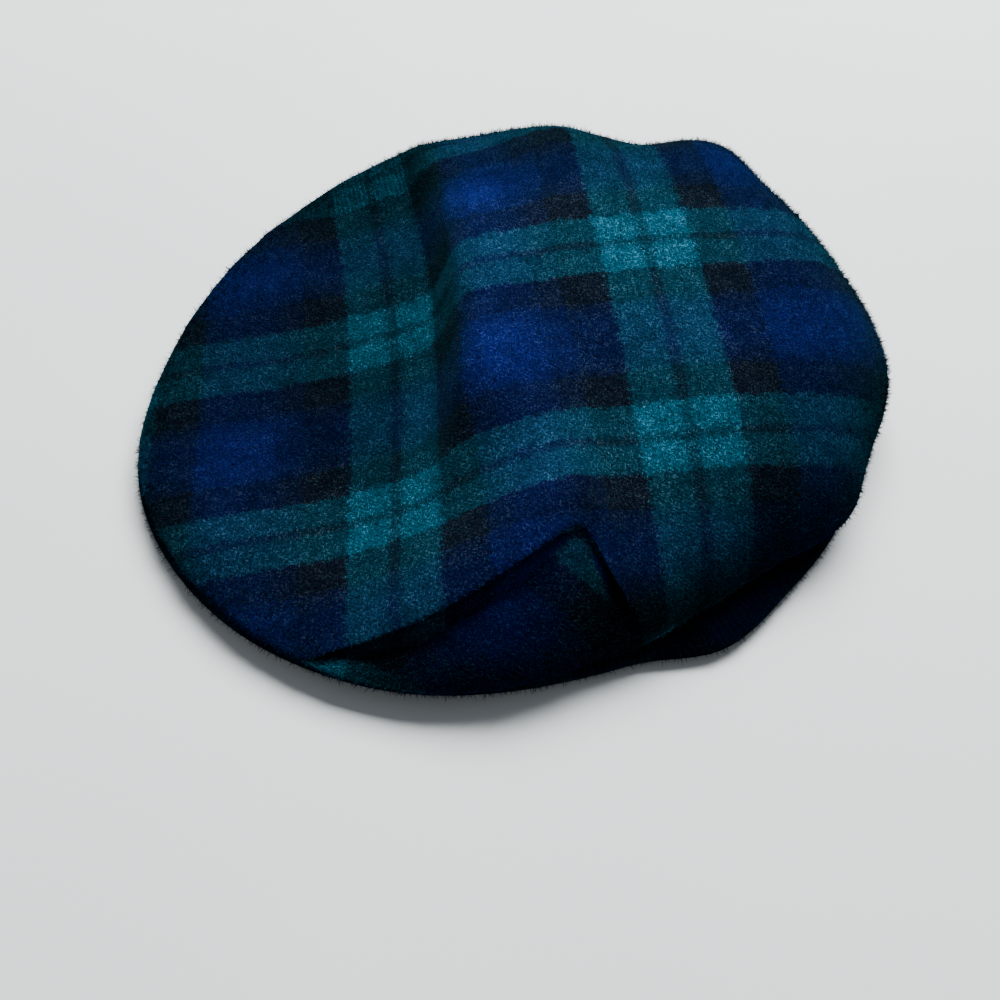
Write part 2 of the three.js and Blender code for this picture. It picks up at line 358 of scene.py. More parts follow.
@dataclass(frozen=True)
class HatForm:
    """Sizes and surfaces of the whole hat, in mm. All but the pleat's repeat the values of the solids.

    The step_ values, riser_back and riser_front are shares of the half width. low_level is a share of the
    crown's height, and the tilts are mm of rise for each mm.
    """

    half_width: float = 140.0
    crown_height: float = 46.0
    cloth: float = 2.2
    seam_gap: float = 0.5
    seam_roll: float = 2.6
    edge_round: float = 8.0
    floor_clearance: float = 0.6
    band_half_x: float = 72.0
    band_half_y: float = 88.0
    band_height: float = 12.0
    band_middle: tuple = (19.6, 0.98)
    roll_from: float = 17 / 19
    outward_power: float = 0.9
    step_from: float = -0.47
    step_turn: float = 0.07
    step_run: float = 0.55
    low_level: float = 0.35
    low_tilt: float = 0.03
    raised_tilt_back: float = 0.06
    raised_tilt_right: float = 0.03
    widest_at: float = 0.55
    band_join: float = 0.7
    riser_foot: float = -37.4
    riser_middle_y: float = -19.6
    riser_bend: float = 0.00143
    riser_run: float = 11.9
    riser_back_run: float = 18.2
    riser_height: float = 15.64
    riser_back_height: float = 11.04
    riser_fade: float = 42.0
    riser_back: Fade = Fade(0.2, 0.6)
    riser_front: Fade = Fade(-0.6, 0.5)
    pleat: FrontPleat = field(default_factory=FrontPleat)

    def section_value(self, angle: np.ndarray, column: str) -> np.ndarray:
        """Smooth value of one column of SECTIONS in any direction, as Hermite curves closed all round.

        Args:
            angle: directions in radians.
            column: name of the column.

        Returns:
            The column's value in each direction.
        """
        turns = np.array([row.turn for row in SECTIONS], float)
        values = np.array([getattr(row, column) for row in SECTIONS], float)
        turn = np.degrees(angle) % 360
        row = (np.searchsorted(turns, turn, side="right") - 1)[..., None] + np.arange(-1, 3)
        wraps = row // len(turns)
        at = turns[row - wraps * len(turns)] + 360 * wraps
        value = values[row - wraps * len(turns)]
        span = at[..., 2] - at[..., 1]
        share = (turn - at[..., 1]) / span
        start_slope = span * (value[..., 2] - value[..., 0]) / (at[..., 2] - at[..., 0])
        end_slope = span * (value[..., 3] - value[..., 1]) / (at[..., 3] - at[..., 1])
        square = share**2
        cube = share**3
        return (
            (2 * cube - 3 * square + 1) * value[..., 1]
            + (cube - 2 * square + share) * start_slope
            + (3 * square - 2 * cube) * value[..., 2]
            + (cube - square) * end_slope
        )

    def level(self, x: np.ndarray, y: np.ndarray) -> np.ndarray:
        """Height far from the rim: a low left side, a step with a riser and a raised right side.

        Args:
            x: first coordinates in mm.
            y: second coordinates in mm.

        Returns:
            Heights in mm.
        """
        beyond = x - self.step_from * self.half_width - self.step_turn * y
        climbed = ease(beyond / (self.step_run * self.half_width))
        low = self.low_level * self.crown_height + self.low_tilt * y
        raised = self.crown_height + self.raised_tilt_back * y
        raised = raised + self.raised_tilt_right * (x - self.band_middle[0])
        return low + (raised - low) * climbed + self.riser(x, y)

    def riser(self, x: np.ndarray, y: np.ndarray) -> np.ndarray:
        """What the step's steep face adds: it dies away to the right and at the front rim.

        Its foot lies on a parabola that bends to the left. Towards the back it is longer and lower.

        Args:
            x: first coordinates in mm.
            y: second coordinates in mm.

        Returns:
            Heights in mm.
        """
        foot = self.riser_foot - self.riser_bend * (y - self.riser_middle_y) ** 2
        towards_back = self.riser_back.of(y / self.half_width)
        run = self.riser_run + (self.riser_back_run - self.riser_run) * towards_back
        height = self.riser_height + (self.riser_back_height - self.riser_height) * towards_back
        dying = 1 - ease((x - foot - 0.5 * run) / self.riser_fade)
        return height * ease((x - foot) / run) * dying * self.riser_front.of(y / self.half_width)

    def crown(self, share: np.ndarray, angle: np.ndarray, tucked: bool) -> np.ndarray:
        """Outer surface of the crown from its middle (share 0) to the seam (share 1).

        The radius is the section's reach times sin(90 degrees times the share) to a power. The height
        falls from the level to the rim as the root of 1 less the radius share to the power of the fullness,
        and past the rim the edge rolls under.

        Args:
            share: shares along the cloth.
            angle: directions in radians, of the same shape.
            tucked: True for the sharp pleat with its overlap, False for the plain surface without the pleat.

        Returns:
            Points with x, y and z last.
        """
        reach = self.half_width * self.section_value(angle, "reach")
        rim = self.crown_height * self.section_value(angle, "rim")
        outward = np.sin(np.pi / 2 * np.minimum(1, share / self.roll_from)) ** self.outward_power
        rolled = np.clip((share - self.roll_from) / (1 - self.roll_from), 0, 1) * np.pi / 2
        radius = reach * outward - self.seam_roll * (1 - np.cos(rolled))
        x = radius * np.cos(angle)
        y = radius * np.sin(angle)
        fall = np.sqrt(np.maximum(0, 1 - outward ** self.section_value(angle, "fullness")))
        height = rim + (self.level(x, y) - rim) * fall
        for swell in SWELLS:
            start = (swell.from_x * self.half_width, swell.from_y * self.half_width)
            end = (swell.to_x * self.half_width, swell.to_y * self.half_width)
            near = segment_distance(x, y, start, end) / (swell.width * self.half_width)
            height = height + swell.rise * self.crown_height * np.exp(-near * near) * fall
        points = np.stack([x, y, height - self.seam_roll * np.sin(rolled)], -1)
        return self.pleat.tuck(points, fall) if tucked else points

    def band_radius(self, angle: np.ndarray, extra: float) -> np.ndarray:
        """Distance from the crown's middle to the headband's oval, by the formula for a line and an ellipse.

        Args:
            angle: directions in radians.
            extra: how much both half widths of the oval grow, in mm.

        Returns:
            Distances in mm.
        """
        half_x = self.band_half_x + extra
        half_y = self.band_half_y + extra
        cosine = np.cos(angle)
        sine = np.sin(angle)
        a = (cosine / half_x) ** 2 + (sine / half_y) ** 2
        b = cosine * self.band_middle[0] / half_x**2 + sine * self.band_middle[1] / half_y**2
        c = (self.band_middle[0] / half_x) ** 2 + (self.band_middle[1] / half_y) ** 2 - 1
        return (b + np.sqrt(b * b - a * c)) / a

    def underside(self, share: np.ndarray, angle: np.ndarray) -> np.ndarray:
        """Outer surface of the underside ring from the seam (share 0) to the headband (share 1).

        The first half of the share turns round the hat's edge on an ellipse that swells out by the puff, and
        the second half runs in along the table and rises to the headband with the square of the share.

        Args:
            share: shares along the cloth.
            angle: directions in radians, of the same shape.

        Returns:
            Points with x, y and z last.
        """
        puff = self.half_width * np.maximum(0, self.section_value(angle, "puff"))
        seam_radius = self.half_width * self.section_value(angle, "reach") - self.seam_roll
        seam_height = self.crown_height * self.section_value(angle, "rim") - self.seam_roll - self.seam_gap
        roundness = self.edge_round + puff
        start_turn = np.arccos(self.edge_round / roundness)
        widest = np.where(start_turn > 0.01, self.widest_at * seam_height, seam_height)
        middle = seam_radius + puff - roundness
        turn = start_turn - np.minimum(1, share / 0.5) * (start_turn + np.pi / 2)
        above = widest + (seam_height - widest) * np.sin(turn) / np.sin(np.maximum(start_turn, 1e-6))
        below = widest + (widest - self.floor_clearance) * np.sin(turn)
        inward = np.clip((share - 0.5) / 0.5, 0, 1)
        radius = middle + np.where(share < 0.5, roundness * np.cos(turn), 0)
        radius = radius + (self.band_radius(angle, self.seam_gap) - middle) * inward
        height = np.where(turn > 0, above, below)
        join_height = self.band_join * self.band_height
        flat_height = self.floor_clearance + (join_height - self.floor_clearance) * inward**2
        height = np.where(share < 0.5, height, flat_height)
        return np.stack([radius * np.cos(angle), radius * np.sin(angle), height], -1)


def surface_normals(points: np.ndarray) -> np.ndarray:
    """Directions out of a grid of rings and turns that is closed all round.

    Args:
        points: the grid, rings by turns, with x, y and z last.

    Returns:
        A unit normal for each point.
    """
    along = np.gradient(points, axis=0)
    around = np.roll(points, -1, axis=1) - np.roll(points, 1, axis=1)
    normal = np.cross(along, around)
    return normal / np.maximum(np.linalg.norm(normal, axis=-1, keepdims=True), 1e-9)


@dataclass
class FlatCut:
    """The crown's cloth laid flat, so that the plaid bends over the hat as woven cloth does.

    The flat shape keeps each small triangle as close to its real shape as it can: in turn, every triangle
    takes the rotation that fits its flat corners best, and one linear system places all corners for those
    rotations. A side weighs as much as the cotangents of the angles across from it, held between
    least_weight and most_weight. pin is the faint pull that keeps the middle from sliding.
    """

    form: HatForm
    rings: int = 34
    turns: int = 84
    rounds: int = 18
    least_weight: float = 0.02
    most_weight: float = 8.0
    pin: float = 0.001
    table: np.ndarray = field(init=False)

    def __post_init__(self) -> None:
        """Lays the cloth flat and keeps the table of flat points, rings by turns."""
        angle = even_turns(self.turns)
        grid = self.form.crown(*full_grid(np.linspace(0, 1, self.rings + 1)[1:], angle), tucked=False)
        top = self.form.crown(np.array([0.0]), np.array([0.0]), tucked=False)
        points = np.concatenate([top, grid.reshape(-1, 3)])
        with_top = np.concatenate([np.broadcast_to(top, (1, self.turns, 3)), grid])
        run = np.cumsum(np.linalg.norm(np.diff(with_top, axis=0), axis=2), axis=0)
        start = np.stack([run * np.cos(angle), run * np.sin(angle)], -1).reshape(-1, 2)
        flat = self._settle(points, self._triangles(), np.concatenate([[[0.0, 0.0]], start]))
        flat = flat - flat[0]
        middle = np.broadcast_to(flat[0], (1, self.turns, 2))
        rows = np.concatenate([middle, flat[1:].reshape(self.rings, self.turns, 2)])
        before = np.roll(rows[1], self.turns // 2, axis=0)[None]
        after = (2 * rows[-1] - rows[-2])[None]
        self.table = np.concatenate([before, rows, after])

    def _triangles(self) -> np.ndarray:
        """Triangles of the coarse grid, with the diagonals alternating.

        Returns:
            The corner numbers of each triangle. The middle of the crown is corner 0.
        """
        ring, turn = np.meshgrid(np.arange(self.rings - 1), np.arange(self.turns), indexing="ij")
        after = (turn + 1) % self.turns
        a = 1 + ring * self.turns + turn
        b = 1 + (ring + 1) * self.turns + turn
        c = 1 + (ring + 1) * self.turns + after
        d = 1 + ring * self.turns + after
        even = ((ring + turn) % 2 == 0)[..., None]
        first = np.where(even, np.stack([a, b, c], -1), np.stack([a, b, d], -1))
        second = np.where(even, np.stack([a, c, d], -1), np.stack([b, c, d], -1))
        turns = np.arange(self.turns)
        middle = np.stack([0 * turns, 1 + turns, 1 + (turns + 1) % self.turns], -1)
        return np.concatenate([middle, first.reshape(-1, 3), second.reshape(-1, 3)])

    def _settle(self, points: np.ndarray, triangles: np.ndarray, flat: np.ndarray) -> np.ndarray:
        """Moves the flat points until the triangles keep their shapes.

        Args:
            points: corners on the hat.
            triangles: corner numbers of each triangle.
            flat: first guess of the flat corners.

        Returns:
            The settled flat corners.
        """
        a, b, c = (points[triangles[:, k]] for k in range(3))
        base = np.linalg.norm(b - a, axis=1)
        local = np.zeros((len(triangles), 3, 2))
        local[:, 1, 0] = base
        local[:, 2, 0] = ((c - a) * (b - a)).sum(1) / base
        local[:, 2, 1] = np.linalg.norm(np.cross(b - a, c - a), axis=1) / base
        area = base * local[:, 2, 1]
        weight = np.zeros((len(triangles), 3))
        for k in range(3):
            one = local[:, (k + 1) % 3] - local[:, k]
            two = local[:, (k + 2) % 3] - local[:, k]
            weight[:, k] = np.clip((one * two).sum(1) / area, self.least_weight, self.most_weight)
        system = np.zeros((len(points), len(points)))
        system[0, 0] = self.pin
        for k in range(3):
            i, j, w = triangles[:, (k + 1) % 3], triangles[:, (k + 2) % 3], weight[:, k]
            np.add.at(system, (i, j), -w)
            np.add.at(system, (j, i), -w)
            np.add.at(system, (i, i), w)
            np.add.at(system, (j, j), w)
        inverse = np.linalg.inv(system)
        for _ in range(self.rounds):
            corners = flat[triangles]
            lean = np.zeros((len(triangles), 2, 2))
            for k in range(3):
                now = corners[:, (k + 1) % 3] - corners[:, (k + 2) % 3]
                real = local[:, (k + 1) % 3] - local[:, (k + 2) % 3]
                lean += weight[:, k, None, None] * now[:, :, None] * real[:, None, :]
            turn = np.arctan2(lean[:, 1, 0] - lean[:, 0, 1], lean[:, 0, 0] + lean[:, 1, 1])
            cosine, sine = np.cos(turn), np.sin(turn)
            target = np.zeros_like(flat)
            for k in range(3):
                x, y = (local[:, (k + 1) % 3] - local[:, (k + 2) % 3]).T
                turned = np.stack([cosine * x - sine * y, sine * x + cosine * y], -1)
                np.add.at(target, triangles[:, (k + 1) % 3], weight[:, k, None] * turned)
                np.add.at(target, triangles[:, (k + 2) % 3], -weight[:, k, None] * turned)
            flat = inverse @ target
        return flat

    def at(self, share: np.ndarray, angle: np.ndarray) -> np.ndarray:
        """Flat place of any points of the crown, by cubic curves through the table both ways.

        Args:
            share: shares along the cloth.
            angle: directions in radians, of the same shape.

        Returns:
            Flat x and y in mm, last.
        """
        down = share * self.rings
        ring = np.clip(np.floor(down), 0, self.rings - 1).astype(int)
        round_ = angle / (2 * np.pi) * self.turns
        turn = np.floor(round_).astype(int)
        total = np.zeros(np.shape(share) + (2,))
        for i, row_weight in enumerate(self._cubic(down - ring)):
            for j, turn_weight in enumerate(self._cubic(round_ - turn)):
                found = self.table[ring + i, (turn + j - 1) % self.turns]
                total += (row_weight * turn_weight)[..., None] * found
        return total

    @staticmethod
    def _cubic(t: np.ndarray) -> tuple:
        """Weights of four neighbours for a cubic curve through the middle two."""
        return (
            -0.5 * t + t**2 - 0.5 * t**3,
            1 - 2.5 * t**2 + 1.5 * t**3,
            0.5 * t + 2 * t**2 - 1.5 * t**3,
            -0.5 * t**2 + 0.5 * t**3,
        )

    def area(self) -> float:
        """Area of the flat cloth, by the shoelace rule round its edge.

        Returns:
            Square metres.
        """
        edge = self.table[-2]
        after = np.roll(edge, -1, axis=0)
        doubled = (edge[:, 0] * after[:, 1] - after[:, 0] * edge[:, 1]).sum()
        return float(abs(doubled) / 2 * METRES**2)


@dataclass(frozen=True)
class PlaidPlace:
    """How the plaid lies on the flat crown: which repeat each flat point falls on.

    column holds the weights of 1, flat x, flat y and the squares and product of the place on the hat, in
    repeats for each 100 mm. row holds the same for the rows.
    """

    column: tuple = (0.6, 0.886, 0.113, -0.031, 0.0, 0.004)
    row: tuple = (-0.293, -0.263, 1.104, 0.043, -0.009, -0.065)

    def at(self, flat: np.ndarray, points: np.ndarray) -> np.ndarray:
        """Column and row on the plaid, in repeats.

        Args:
            flat: flat places in mm.
            points: the same points on the hat in mm.

        Returns:
            Column and row, last.
        """
        x, y = points[..., 0] / 100, points[..., 1] / 100
        terms = np.stack([np.ones_like(x), flat[..., 0] / 100, flat[..., 1] / 100, x * x, x * y, y * y], -1)
        return np.stack([terms @ np.array(self.column), terms @ np.array(self.row)], -1)


@dataclass(frozen=True)
class Placement:
    """Where the crown's middle stands in the frame of the solids, in mm."""

    shift: tuple

    @staticmethod
    def from_headband(form: HatForm) -> "Placement":
        """Finds the shift that lays the form's headband on the headband solid.

        Args:
            form: the hat's form.

        Returns:
            The placement.
        """
        low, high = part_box("headband")
        middle = (np.array(low) + np.array(high)) / 2 / METRES
        return Placement((middle[0] - form.band_middle[0], middle[1] - form.band_middle[1], 0.0))

    def metres(self, points: np.ndarray) -> np.ndarray:
        """Points of the hat as metres in the frame of the solids."""
        return (points + np.array(self.shift)) * METRES


def build_mesh(
    name: str,
    points: np.ndarray,
    faces: list,
    finish: bpy.types.Material,
    cloth_map: np.ndarray | None = None,
    painted_light: np.ndarray | None = None,
) -> bpy.types.Object:
    """Makes a smooth-shaded mesh object at the origin.

    Args:
        name: name of the piece.
        points: corners in metres.
        faces: arrays of corner numbers, each with as many columns as its faces have corners.
        finish: the piece's material.
        cloth_map: column and row on the plaid for each corner of each face, or None.
        painted_light: painted light and shade on the cloth at each corner, with some random tone, or None.

    Returns:
        The new object, in the scene.
    """
    mesh = bpy.data.meshes.new(name)
    corners = np.concatenate([part.ravel() for part in faces]).astype(np.int32)
    sides = np.concatenate([np.full(len(part), part.shape[1]) for part in faces])
    mesh.vertices.add(len(points))
    mesh.vertices.foreach_set("co", points.astype(np.float32).ravel())
    mesh.loops.add(len(corners))
    mesh.loops.foreach_set("vertex_index", corners)
    mesh.polygons.add(len(sides))
    mesh.polygons.foreach_set("loop_start", (np.cumsum(sides) - sides).astype(np.int32))
    mesh.update(calc_edges=True)
    mesh.polygons.foreach_set("use_smooth", np.ones(len(sides), bool))
    if cloth_map is not None:
        layer = mesh.uv_layers.new(name=CLOTH_MAP)
        layer.data.foreach_set("uv", cloth_map.astype(np.float32).ravel())
    if painted_light is not None:
        shading = mesh.attributes.new(PAINTED_LIGHT, "FLOAT", "POINT")
        shading.data.foreach_set("value", painted_light.astype(np.float32).ravel())
    mesh.update()
    mesh.materials.append(finish)
    piece = bpy.data.objects.new(name, mesh)
    bpy.context.scene.collection.objects.link(piece)
    return piece


def shell_faces(rings: int, turns: int, has_middle: bool) -> tuple[np.ndarray, np.ndarray]:
    """Faces of a closed cloth wall made of an outer and an inner grid of rings and turns.

    The outer grid's corners come first, then the inner grid's, then the two middles where it has them.

    Args:
        rings: rows of corners in each grid.
        turns: corners in each row.
        has_middle: True where a fan of triangles closes both grids in the middle.

    Returns:
        The four-cornered faces and the triangles.
    """
    ring, turn = np.meshgrid(np.arange(rings - 1), np.arange(turns), indexing="ij")
    after = (turn + 1) % turns
    a, b = ring * turns + turn, (ring + 1) * turns + turn
    c, d = (ring + 1) * turns + after, ring * turns + after
    inner = rings * turns
    outer_faces = np.stack([a, b, c, d], -1).reshape(-1, 4)
    inner_faces = np.stack([a, d, c, b], -1).reshape(-1, 4) + inner
    t = np.arange(turns)
    n = (t + 1) % turns
    last = (rings - 1) * turns
    rim = np.stack([last + t, inner + last + t, inner + last + n, last + n], -1)
    quads = [outer_faces, inner_faces, rim]
    triangles = np.zeros((0, 3), int)
    if has_middle:
        top = 2 * inner
        triangles = np.concatenate([
            np.stack([0 * t + top, t, n], -1),
            np.stack([0 * t + top + 1, inner + n, inner + t], -1),
        ])
    else:
        quads.append(np.stack([t, n, inner + n, inner + t], -1))
    return np.concatenate(quads), triangles


class ThreadColour(Enum):
    """Dyed yarns of the plaid, with their colour on the finished cloth in linear light."""

    GREEN = (0.003, 0.0395, 0.066)
    BLUE = (0.0015, 0.003, 0.046)
    BLACK = (0.002, 0.0024, 0.0068)


class NodeSketch:
    """Short hand for building a node tree."""

    def __init__(self, tree: bpy.types.NodeTree) -> None:
        """Keeps the tree and starts at its left edge."""
        self.tree = tree
        self.count = 0

    def node(self, kind: str, **settings: object) -> bpy.types.Node:
        """Adds a node.

        Args:
            kind: the node's type.
            settings: properties of the node.

        Returns:
            The node.
        """
        made = self.tree.nodes.new(kind)
        for name, value in settings.items():
            setattr(made, name, value)
        made.location = (180 * (self.count % 12), -220 * (self.count // 12))
        self.count += 1
        return made

    def link(self, source: bpy.types.NodeSocket, target: bpy.types.NodeSocket) -> None:
        """Joins an output to an input."""
        self.tree.links.new(source, target)

    def feed(self, socket: bpy.types.NodeSocket, value: object) -> None:
        """Links a socket, or sets a number on it."""
        if isinstance(value, bpy.types.NodeSocket):
            self.link(value, socket)
        else:
            socket.default_value = value

    def math(self, operation: str, *values: object) -> bpy.types.NodeSocket:
        """A Math node's result.

        Args:
            operation: what it does.
            values: its numbers or sockets, in order.

        Returns:
            The output socket.
        """
        made = self.node("ShaderNodeMath", operation=operation)
        for socket, value in zip(made.inputs, values):
            self.feed(socket, value)
        return made.outputs[0]

    def mix(self, blend: str, share: object, first: object, second: object) -> bpy.types.NodeSocket:
        """A colour Mix node's result.

        Args:
            blend: how the colours join.
            share: how much of the second shows.
            first: first colour or socket.
            second: second colour or socket.

        Returns:
            The output socket.
        """
        made = self.node("ShaderNodeMix", data_type="RGBA", blend_type=blend)
        self.feed(made.inputs[0], share)
        self.feed(made.inputs[6], first)
        self.feed(made.inputs[7], second)
        return made.outputs[2]

    def noise(
        self, vector: object, scale: float, detail: float, roughness: float = 0.5, output: str = "Fac"
    ) -> bpy.types.NodeSocket:
        """A Noise Texture's value or colour.

        Args:
            vector: socket with the place.
            scale: its scale.
            detail: its number of octaves.
            roughness: strength of the finer octaves.
            output: Fac for the value, Color for the colour.

        Returns:
            The output socket.
        """
        made = self.node("ShaderNodeTexNoise")
        self.link(vector, made.inputs["Vector"])
        made.inputs["Scale"].default_value = scale
        made.inputs["Detail"].default_value = detail
        made.inputs["Roughness"].default_value = roughness
        return made.outputs[output]

    def span(
        self, value: object, low: float, high: float, to_low: float, to_high: float
    ) -> bpy.types.NodeSocket:
        """A Map Range node's result, held within its ends.

        Args:
            value: socket to map.
            low: value that maps to to_low.
            high: value that maps to to_high.
            to_low: first result.
            to_high: last result.

        Returns:
            The output socket.
        """
        made = self.node("ShaderNodeMapRange")
        for socket, number in zip(made.inputs, (value, low, high, to_low, to_high)):
            self.feed(socket, number)
        return made.outputs[0]


def new_group(name: str, inputs: dict, outputs: dict) -> tuple[bpy.types.NodeTree, NodeSketch, dict, dict]:
    """Starts a shader node group with named sockets.

    Args:
        name: name of the group.
        inputs: socket type of each input.
        outputs: socket type of each output.

    Returns:
        The group, its sketch, the sockets of its inputs and those of its outputs.
    """
    group = bpy.data.node_groups.new(name, "ShaderNodeTree")
    for socket, kind in inputs.items():
        group.interface.new_socket(socket, in_out="INPUT", socket_type=kind)
    for socket, kind in outputs.items():
        group.interface.new_socket(socket, in_out="OUTPUT", socket_type=kind)
    sketch = NodeSketch(group)
    start = sketch.node("NodeGroupInput")
    end = sketch.node("NodeGroupOutput")
    return group, sketch, {k: start.outputs[k] for k in inputs}, {k: end.inputs[k] for k in outputs}


VALUE = "NodeSocketFloat"
VECTOR = "NodeSocketVector"
COLOUR = "NodeSocketColor"


@dataclass(frozen=True)
class Sett:
    """Order of the yarns over two repeats of the plaid, in threads of 104 for each repeat.

    The field after an even column carries a pair of black lines near both its edges, and the field after an
    odd one a pair in its middle.
    """

    threads: float = 104.0
    even_field: tuple = (
        ("L", 2), ("G", 15), ("K", 16), ("B", 2), ("D", 2), ("B", 2), ("D", 2), ("B", 22),
        ("D", 2), ("B", 2), ("D", 2), ("B", 2), ("K", 16), ("G", 15), ("L", 2),
    )
    odd_field: tuple = (
        ("L", 2), ("G", 15), ("K", 16), ("B", 16), ("D", 2), ("B", 2), ("D", 2), ("B", 16),
        ("K", 16), ("G", 15), ("L", 2),
    )

    def ramp(self, node: bpy.types.Node) -> None:
        """Writes the order into a colour ramp: green yarn as green, blue as blue and black as black.

        D and L are the thin black lines in the blue and in the green, which the felting has half hidden.

        Args:
            node: the colour ramp.
        """
        marks = {
            "K": (0, 0, 0, 1),
            "G": (0, 1, 0, 1),
            "B": (0, 0, 1, 1),
            "D": (0, 0, 0.7, 1),
            "L": (0, 0.3, 0, 1),
        }
        ramp = node.color_ramp
        ramp.interpolation = "CONSTANT"
        start = 0.0
        stops = []
        for yarn, count in self.even_field + self.odd_field:
            if not stops or stops[-1][1] != yarn:
                stops.append((start / (2 * self.threads), yarn))
            start += count
        while len(ramp.elements) < len(stops):
            ramp.elements.new(1.0)
        for element, (position, yarn) in zip(ramp.elements, stops):
            element.position = position
            element.color = marks[yarn]


def tartan_group(sett: Sett) -> bpy.types.NodeTree:
    """Plaid colours from a place in repeats: warp and weft yarns show half each.

    Fray pushes the edges of the stripes about, and Rib is how strongly the warp threads stand out in the
    colour. The blue is palest in the middle of each field, and once more where two blue yarns cross. Where
    only one of two crossing yarns is green, the other's nap covers a part of it.

    Args:
        sett: order of the yarns.

    Returns:
        The node group.
    """
    group, s, i, o = new_group(
        "Tartan weave",
        {"Place": VECTOR, "Green": COLOUR, "Blue": COLOUR, "Black": COLOUR, "Fray": VALUE, "Rib": VALUE},
        {"Color": COLOUR, "Green Share": VALUE, "Height": VALUE},
    )
    parts = s.node("ShaderNodeSeparateXYZ")
    s.link(i["Place"], parts.inputs[0])
    frayed = s.node("ShaderNodeSeparateColor")
    s.link(s.noise(i["Place"], scale=48, detail=5, roughness=0.85, output="Color"), frayed.inputs[0])
    yarns = []
    greens = []
    depths = []
    for axis, phase in enumerate((0.3, 0.0)):
        push = s.math("MULTIPLY", s.math("SUBTRACT", frayed.outputs[axis], 0.5), i["Fray"])
        place = s.math("ADD", parts.outputs[axis], push)
        turned = s.math("WRAP", s.math("MULTIPLY", place, 0.5), 1.0, 0.0)
        ramp = s.node("ShaderNodeValToRGB")
        sett.ramp(ramp)
        s.link(turned, ramp.inputs[0])
        split = s.node("ShaderNodeSeparateColor")
        s.link(ramp.outputs[0], split.inputs[0])
        wave = s.math("COSINE", s.math("MULTIPLY_ADD", place, 2 * np.pi, phase))
        depth = s.math("MULTIPLY", split.outputs[2], s.span(wave, -1.0, -0.4, 1.0, 0.35))
        depths.append(depth)
        greens.append(split.outputs[1])
        colour = s.mix("MIX", depth, i["Black"], i["Blue"])
        yarns.append(s.mix("MIX", split.outputs[1], colour, i["Green"]))
    warp, weft = (s.math("MULTIPLY", parts.outputs[axis], sett.threads * np.pi) for axis in range(2))
    twill = s.math("SINE", s.math("ADD", warp, weft))
    over = s.math("MULTIPLY_ADD", twill, 0.05, 0.5)
    woven = s.mix("MIX", over, *yarns)
    woven = s.mix("ADD", s.math("MULTIPLY", s.math("MULTIPLY", *depths), 0.3), woven, i["Blue"])
    one_green = s.math("ABSOLUTE", s.math("SUBTRACT", *greens))
    covered = s.math("MULTIPLY_ADD", s.math("SINE", warp), i["Rib"], 1.0)
    covered = s.math("MULTIPLY", covered, s.math("MULTIPLY_ADD", one_green, -0.25, 1.0))
    s.link(s.mix("MULTIPLY", 1.0, woven, covered), o["Color"])
    s.link(s.math("MULTIPLY", s.math("ADD", *greens), 0.5), o["Green Share"])
    ridge = s.math("ADD", s.math("SINE", warp), s.math("SINE", weft))
    s.link(s.math("MULTIPLY_ADD", ridge, 0.2, s.math("MULTIPLY", twill, 0.3)), o["Height"])
    return group


def felt_group() -> bpy.types.NodeTree:
    """Felted nap on Object coordinates: matted clumps, pale loose fibres and a height for bumps.

    The fibres are the crests of two noises, drawn out along two directions.

    Returns:
        The node group.
    """
    inputs = {"Place": VECTOR, "Color": COLOUR, "Fibre": COLOUR}
    inputs.update({"Fibre Amount": VALUE, "Clumps": VALUE, "Rubbed": VALUE})
    group, s, i, o = new_group("Felted nap", inputs, {"Color": COLOUR, "Height": VALUE, "Roughness": VALUE})
    clumps = s.noise(i["Place"], scale=160, detail=4, roughness=0.6)
    patches = s.noise(i["Place"], scale=38, detail=2, roughness=0.5)
    grain = s.noise(i["Place"], scale=1300, detail=3, roughness=0.75)
    light = s.math("ADD", s.math("MULTIPLY", clumps, 0.5), s.math("MULTIPLY", patches, 0.5))
    light = s.math("SUBTRACT", light, 0.5)
    shade = s.math("MULTIPLY_ADD", s.math("MULTIPLY", light, i["Clumps"]), 3.0, 1.0)
    # Painted light and shade from the Rubbed input darken the nap's colour
    shade = s.math("MULTIPLY", shade, i["Rubbed"])
    grained = s.math("MULTIPLY", shade, s.span(grain, 0.3, 0.7, 0.35, 1.5))
    grey = s.node("ShaderNodeCombineColor")
    for socket in grey.inputs[:3]:
        s.link(grained, socket)
    base = s.mix("MULTIPLY", 1.0, i["Color"], grey.outputs[0])
    brighter = s.mix("ADD", 1.0, s.mix("MULTIPLY", 1.0, i["Color"], (3.5, 3.5, 3.5, 1)), i["Fibre"])
    streaks = []
    for stretch in ((2.4, 0.8, 1.4), (0.9, 2.1, 1.4)):
        drawn = s.node("ShaderNodeVectorMath", operation="MULTIPLY")
        s.link(i["Place"], drawn.inputs[0])
        drawn.inputs[1].default_value = stretch
        streaks.append(s.noise(drawn.outputs[0], scale=900, detail=2, roughness=0.7))
    loose = s.span(s.math("MAXIMUM", streaks[0], streaks[1]), 0.58, 0.67, 0.0, 1.0)
    loose = s.math("MULTIPLY", loose, s.span(clumps, 0.35, 0.62, 0.35, 1.15))
    # Fewer pale fibres show where painted shade is darker
    picked = s.math("MULTIPLY", loose, s.math("MULTIPLY", i["Fibre Amount"], i["Rubbed"]))
    s.link(s.mix("MIX", picked, base, brighter), o["Color"])
    s.link(s.math("ADD", s.math("MULTIPLY", clumps, 0.6), s.math("MULTIPLY", grain, 0.4)), o["Height"])
    s.link(s.span(clumps, 0.3, 0.7, 1.0, 0.86), o["Roughness"])
    return group


